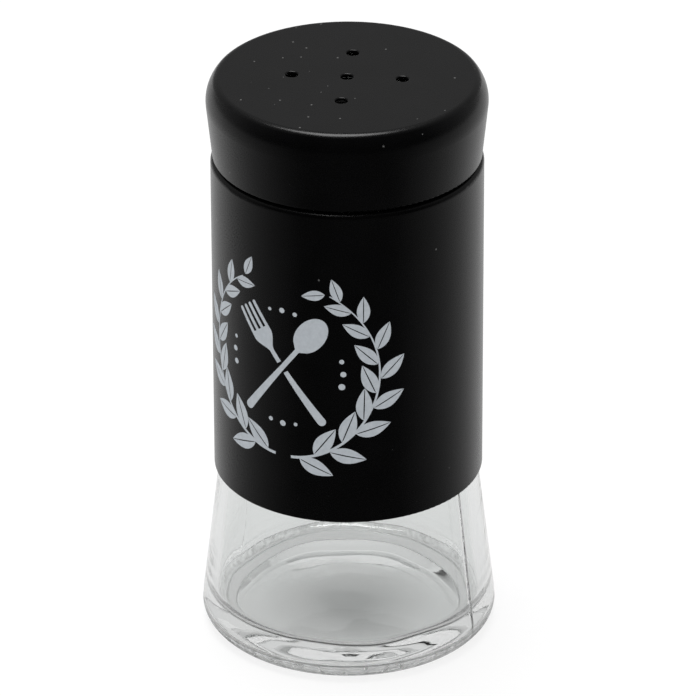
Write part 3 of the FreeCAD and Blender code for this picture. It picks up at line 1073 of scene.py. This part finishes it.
    def one_leaf(self, graph: Graph, given: Any) -> bpy.types.NodeSocket:
        """A leaf along +X from its root, in two halves with the vein left open between them.

        Args:
            graph: The tree.
            given: The tree's inputs.

        Returns:
            The leaf's geometry socket.
        """
        grid = graph.add("GeometryNodeMeshGrid", {
            "Size X": 1.0, "Size Y": 1.0, "Vertices X": self.leaf_rows, "Vertices Y": self.leaf_columns,
        }).outputs[0]
        spot = graph.position()
        along = graph.math("ADD", spot[0], 0.5)
        out = graph.math("ADD", spot[1], 0.5)
        turn = graph.math("MULTIPLY", graph.math("POWER", along, self.leaf_belly), math.pi)
        swell = graph.math("MAXIMUM", graph.math("SINE", turn), 0.0)
        half_leaf = graph.math("MULTIPLY", given["Leaf Width"], 0.5)
        width = graph.math("MULTIPLY", graph.math("POWER", swell, self.leaf_fullness), half_leaf)
        vein = graph.math("MULTIPLY", given["Vein Gap"], graph.math("POWER", swell, self.vein_fullness))
        half_vein = graph.math("MULTIPLY", vein, 0.5)
        blade = graph.math("MULTIPLY", out, graph.math("SUBTRACT", width, half_vein))
        side = graph.math("MAXIMUM", graph.math("ADD", half_vein, blade), 0.0)
        length = graph.math("ADD", given["Leaf Root"], graph.math("MULTIPLY", along, given["Leaf Length"]))
        place = graph.add("ShaderNodeCombineXYZ", {0: length, 1: side}).outputs[0]
        upper = graph.add("GeometryNodeSetPosition", {"Geometry": grid, "Position": place}).outputs[0]
        mirror = (1.0, -1.0, 1.0)
        flipped = graph.add("GeometryNodeTransform", {"Geometry": upper, "Scale": mirror}).outputs[0]
        lower = graph.add("GeometryNodeFlipFaces", {0: flipped}).outputs[0]
        return graph.join([upper, lower])

    def leaf_nodes(self, graph: Graph, given: Any) -> bpy.types.NodeSocket:
        """Leaves to both sides of the wreath's two branches, smaller toward the tips.

        Args:
            graph: The tree.
            given: The tree's inputs.

        Returns:
            The leaves' geometry socket.
        """
        leaf = self.one_leaf(graph, given)
        count = graph.math("MULTIPLY", given["Leaves"], 2.0)
        index = graph.add("GeometryNodeInputIndex").outputs[0]
        part = graph.math("DIVIDE", index, count)
        shrink = graph.math("MULTIPLY", graph.math("POWER", part, 2.0), self.leaf_shrink)
        size = graph.math("SUBTRACT", self.first_leaf, shrink)
        outward = graph.math("SUBTRACT", graph.math("MULTIPLY", graph.math("MODULO", index, 2.0), 2.0), 1.0)
        jitter = graph.random(-self.leaf_jitter, self.leaf_jitter, given["Seed"])
        lean = graph.math("ADD", graph.math("MULTIPLY", outward, given["Leaf Lean"]), jitter)
        spin = graph.add("ShaderNodeCombineXYZ", {2: lean}).outputs[0]
        branches = []
        for way in (1.0, -1.0):
            start = graph.math("MULTIPLY", given["Wreath Gap"], way)
            arc = graph.add("GeometryNodeCurveArc", {
                "Resolution": self.branch_points, "Radius": given["Wreath Radius"],
                "Start Angle": graph.math("ADD", start, -math.pi / 2.0),
                "Sweep Angle": graph.math("MULTIPLY", given["Wreath Sweep"], way),
            }, mode="RADIUS").outputs[0]
            spots = graph.add("GeometryNodeCurveToPoints", {"Curve": arc, "Count": count}, mode="COUNT")
            tangent = spots.outputs["Tangent"]
            axis = graph.add("FunctionNodeAlignEulerToVector", {"Vector": tangent}, axis="X").outputs[0]
            turned = graph.add("FunctionNodeRotateEuler", {
                "Rotation": axis, "Rotate By": spin,
            }, space="LOCAL").outputs[0]
            branches.append(graph.add("GeometryNodeInstanceOnPoints", {
                "Points": spots.outputs["Points"], "Instance": leaf, "Rotation": turned, "Scale": size,
            }).outputs[0])
        return graph.join(branches)

    def berry_nodes(self, graph: Graph, given: Any) -> bpy.types.NodeSocket:
        """Peppercorns in the four gaps between the crossed handles.

        Args:
            graph: The tree.
            given: The tree's inputs.

        Returns:
            The peppercorns' geometry socket.
        """
        ring = graph.add("GeometryNodeMeshCircle", {
            "Vertices": self.berry_places, "Radius": given["Berry Ring"],
        }).outputs[0]
        spot = graph.position()
        farther = graph.math("MAXIMUM", graph.math("ABSOLUTE", spot[0]), graph.math("ABSOLUTE", spot[1]))
        limit = graph.math("MULTIPLY", given["Berry Ring"], self.berry_spread)
        disc = graph.add("GeometryNodeMeshCircle", {
            "Vertices": self.berry_corners, "Radius": given["Berry Radius"],
        }, fill_type="NGON").outputs[0]
        return graph.add("GeometryNodeInstanceOnPoints", {
            "Points": ring, "Selection": graph.math("GREATER_THAN", farther, limit),
            "Instance": disc, "Scale": graph.random(*self.berry_sizes, given["Seed"]),
        }).outputs[0]

    def film_nodes(self, graph: Graph, given: Any, flat: bpy.types.NodeSocket) -> bpy.types.NodeSocket:
        """Thicken flat art into a closed film.

        Args:
            graph: The tree.
            given: The tree's inputs.
            flat: The flat art.

        Returns:
            The film's geometry socket.
        """
        up = graph.add("ShaderNodeCombineXYZ", {2: 1.0}).outputs[0]
        raised = graph.add("GeometryNodeExtrudeMesh", {
            "Mesh": flat, "Offset": up, "Offset Scale": given["Film"], "Individual": False,
        }, mode="FACES").outputs[0]
        closed = graph.join([raised, graph.add("GeometryNodeFlipFaces", {0: flat}).outputs[0]])
        welded = graph.add("GeometryNodeMergeByDistance", {"Geometry": closed, "Distance": self.weld * MM})
        return welded.outputs[0]

    @staticmethod
    def wrap_nodes(graph: Graph, given: Any, film: bpy.types.NodeSocket) -> bpy.types.NodeSocket:
        """Bend the film round the sleeve.

        Args:
            graph: The tree.
            given: The tree's inputs.
            film: The flat film.

        Returns:
            The bent film's geometry socket.
        """
        spot = graph.position()
        bend = graph.math("DIVIDE", spot[0], given["Sleeve Radius"])
        angle = graph.math("ADD", given["Middle Angle"], bend)
        radius = graph.math("ADD", graph.math("ADD", given["Sleeve Radius"], given["Lift"]), spot[2])
        across = graph.math("MULTIPLY", radius, graph.math("SINE", angle))
        ahead = graph.math("MULTIPLY", graph.math("MULTIPLY", radius, graph.math("COSINE", angle)), -1.0)
        height = graph.math("ADD", given["Middle Height"], spot[1])
        place = graph.add("ShaderNodeCombineXYZ", {0: across, 1: ahead, 2: height}).outputs[0]
        return graph.add("GeometryNodeSetPosition", {"Geometry": film, "Position": place}).outputs[0]

    def build(self, ink: bpy.types.Material) -> bpy.types.Object:
        """Draw, wrap and dress the print.

        Args:
            ink: The ink's material.

        Returns:
            The print as one plain mesh object.
        """
        art = FlatArt()
        self.stems(art)
        self.spoon(art)
        self.fork(art)
        drawn = bpy.data.objects.new("sleeve_print", art.mesh("sleeve_print"))
        bpy.context.scene.collection.objects.link(drawn)
        piece = grown(drawn, self.tree(ink), self.inputs())
        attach(piece, Body.JAR.value)
        LOG.info("print: %d faces", len(piece.data.polygons))
        return piece


def grown(holder: bpy.types.Object, tree: bpy.types.NodeTree, values: dict[str, Any]) -> bpy.types.Object:
    """Run a geometry tree on an object and keep the result as its plain mesh.

    Args:
        holder: The object that carries the tree's input.
        tree: The tree.
        values: Input name to value.

    Returns:
        The same object, with the result as its mesh and no modifier.
    """
    modifier = holder.modifiers.new(tree.name, "NODES")
    modifier.node_group = tree
    for socket in tree.interface.items_tree:
        if socket.in_out == "INPUT" and socket.name in values:
            modifier[socket.identifier] = values[socket.name]
    holder.update_tag()
    graph = bpy.context.evaluated_depsgraph_get()
    mesh = bpy.data.meshes.new_from_object(holder.evaluated_get(graph))
    holder.modifiers.remove(modifier)
    holder.data = mesh
    return holder


@dataclass
class Shaker:
    """The turned jar, the carried-over nodes and the print, each with its finish."""

    glass: ClearGlass = field(default_factory=ClearGlass)
    stippled: StippledGlass = field(default_factory=StippledGlass)
    paint: SatinBlackPaint = field(default_factory=SatinBlackPaint)
    plastic: MouldedPlastic = field(default_factory=MouldedPlastic)
    foam: FoamSeal = field(default_factory=FoamSeal)
    glue: SetGlue = field(default_factory=SetGlue)
    ink: SilverInk = field(default_factory=SilverInk)
    jar: GlassJar = field(default_factory=GlassJar)
    artwork: KitchenPrint = field(default_factory=KitchenPrint)

    def build(self) -> None:
        """Dress every carried-over node, turn the jar and add the print."""
        finishes = (self.paint, self.plastic, self.foam, self.glue)
        paint, plastic, foam, glue = (finish.build() for finish in finishes)
        dressed = {
            Body.JAR: {"body_sleeve": paint, "sleeve_glue_pads": glue},
            Body.SEAL: {"seal_washer": foam},
            Body.CAP: {"cap_shell": paint, "cap_insert": plastic},
        }
        for body, nodes in dressed.items():
            for node, material in nodes.items():
                dress_node(body, node, material)
        self.jar.build(self.glass.build(), self.stippled.build())
        self.artwork.build(self.ink.build())


@dataclass
class Studio:
    """White table, white room and one soft lamp, with the camera of the photograph.

    The table and the room have a brightness for the eye, one for what is seen through glass and
    one for what is seen in a gloss. The last darkens toward the front: floor_turns and room_turns
    say where, from -1 at the back to 1 at the front.
    """

    target: tuple[float, float, float] = (0.0, 0.0, 0.05)
    distance: float = 1.1
    elevation: float = 27.93
    roll: float = -0.207
    focal_pixels: float = 6616.2
    frame_pixels: float = 696.0
    sensor: float = 36.0
    clip: tuple[float, float] = (0.05, 50.0)
    floor_size: float = 6.0
    floor_lift: float = 0.84
    floor_lift_through: float = 0.5
    floor_lift_in_painted_shadow: float = 0.25
    floor_shade: tuple[float, float] = (0.003, 0.015)
    floor_body: float = 0.7
    floor_body_through: float = 0.2
    floor_gloss: tuple[float, float] = (0.86, 0.06)
    floor_turns: tuple[float, float] = (-0.5, 0.8)
    room: float = 0.55
    room_through: float = 0.67
    room_gloss: float = 0.32
    room_turns: tuple[float, float] = (-0.35, 0.4)
    lamp_place: tuple[float, float, float] = (-0.07, 0.12, 1.08)
    lamp_size: float = 0.56
    lamp_power: float = 10.6
    bounces: int = 32

    def camera(self) -> None:
        """Stand the camera at the photograph's place and angle."""
        lens = bpy.data.cameras.new("camera")
        lens.sensor_fit = "HORIZONTAL"
        lens.sensor_width = self.sensor
        lens.lens = self.focal_pixels / self.frame_pixels * self.sensor
        lens.clip_start, lens.clip_end = self.clip
        camera = bpy.data.objects.new("camera", lens)
        lean = math.radians(self.elevation)
        away = Vector((0.0, -math.cos(lean), math.sin(lean)))
        camera.location = Vector(self.target) + away * self.distance
        facing = away.to_track_quat("Z", "Y").to_matrix().to_4x4()
        turn = facing @ Matrix.Rotation(math.radians(self.roll), 4, "Z")
        camera.rotation_euler = turn.to_euler()
        bpy.context.scene.collection.objects.link(camera)
        bpy.context.scene.camera = camera

    def floor(self) -> None:
        """Lay the white table, which keeps a light shadow and is darker right under the jar by a painted
        shadow.
        """
        half = self.floor_size / 2.0
        corners = [(-half, -half, 0.0), (half, -half, 0.0), (half, half, 0.0), (-half, half, 0.0)]
        mesh = bpy.data.meshes.new("floor")
        mesh.from_pydata(corners, [], [(0, 1, 2, 3)])
        floor = bpy.data.objects.new("floor", mesh)
        bpy.context.scene.collection.objects.link(floor)
        material = bpy.data.materials.new("white_table")
        material.use_nodes = True
        graph = Graph(material.node_tree)
        graph.tree.nodes.clear()
        flat = graph.flat(graph.add("ShaderNodeTexCoord").outputs["Object"])
        back = graph.split(graph.vector("NORMALIZE", flat).outputs[0])[1]
        mirrored = graph.ramp(graph.math("MULTIPLY", back, -1.0), *self.floor_gloss, *self.floor_turns)
        away = graph.vector("LENGTH", flat).outputs["Value"]
        # Painted shadow: what is seen through the glass is darker close under the jar.
        through = graph.ramp(away, self.floor_lift_in_painted_shadow, self.floor_lift_through, *self.floor_shade)
        glow = graph.by_ray(self.floor_lift, through, mirrored, 0.0)
        body = graph.by_ray(1.0 - self.floor_lift, self.floor_body_through, 0.0, self.floor_body)
        lit = graph.add("ShaderNodeEmission", {"Strength": glow}).outputs[0]
        shaded = graph.add("ShaderNodeBsdfDiffuse", {"Color": body}).outputs[0]
        both = graph.add("ShaderNodeAddShader", {0: shaded, 1: lit}).outputs[0]
        graph.add("ShaderNodeOutputMaterial", {"Surface": both})
        mesh.materials.append(material)

    def world(self) -> None:
        """Even light all round, white where it is seen directly."""
        world = bpy.data.worlds.new("room")
        world.use_nodes = True
        bpy.context.scene.world = world
        graph = Graph(world.node_tree)
        graph.tree.nodes.clear()
        back = graph.split(graph.add("ShaderNodeTexCoord").outputs["Generated"])[1]
        mirrored = graph.ramp(graph.math("MULTIPLY", back, -1.0), self.room_gloss, 0.0, *self.room_turns)
        level = graph.by_ray(1.0, self.room_through, mirrored, self.room)
        sky = graph.add("ShaderNodeBackground", {"Color": (1.0, 1.0, 1.0, 1.0), "Strength": level}).outputs[0]
        graph.add("ShaderNodeOutputWorld", {"Surface": sky})

    def lamp(self) -> None:
        """Hang the soft lamp over the table."""
        light = bpy.data.lights.new("soft_lamp", "AREA")
        light.shape = "SQUARE"
        light.size = self.lamp_size
        light.energy = self.lamp_power
        lamp = bpy.data.objects.new("soft_lamp", light)
        lamp.location = self.lamp_place
        toward = Vector(self.lamp_place) - Vector(self.target)
        lamp.rotation_euler = toward.to_track_quat("Z", "Y").to_euler()
        bpy.context.scene.collection.objects.link(lamp)

    def build(self) -> None:
        """Set up camera, table, room and lamp, with bounces enough for light to leave thick glass."""
        bpy.context.scene.view_settings.view_transform = "Standard"
        paths = bpy.context.scene.cycles
        paths.max_bounces = self.bounces
        paths.glossy_bounces = self.bounces
        paths.transmission_bounces = self.bounces
        self.camera()
        self.floor()
        self.world()
        self.lamp()
        LOG.info("studio: camera %.1f mm", bpy.context.scene.camera.data.lens)


def main() -> None:
    """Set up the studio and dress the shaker."""
    logging.basicConfig(level=logging.INFO, format="%(name)s: %(message)s")
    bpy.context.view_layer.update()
    Studio().build()
    Shaker().build()


if __name__ == "__main__":
    main()
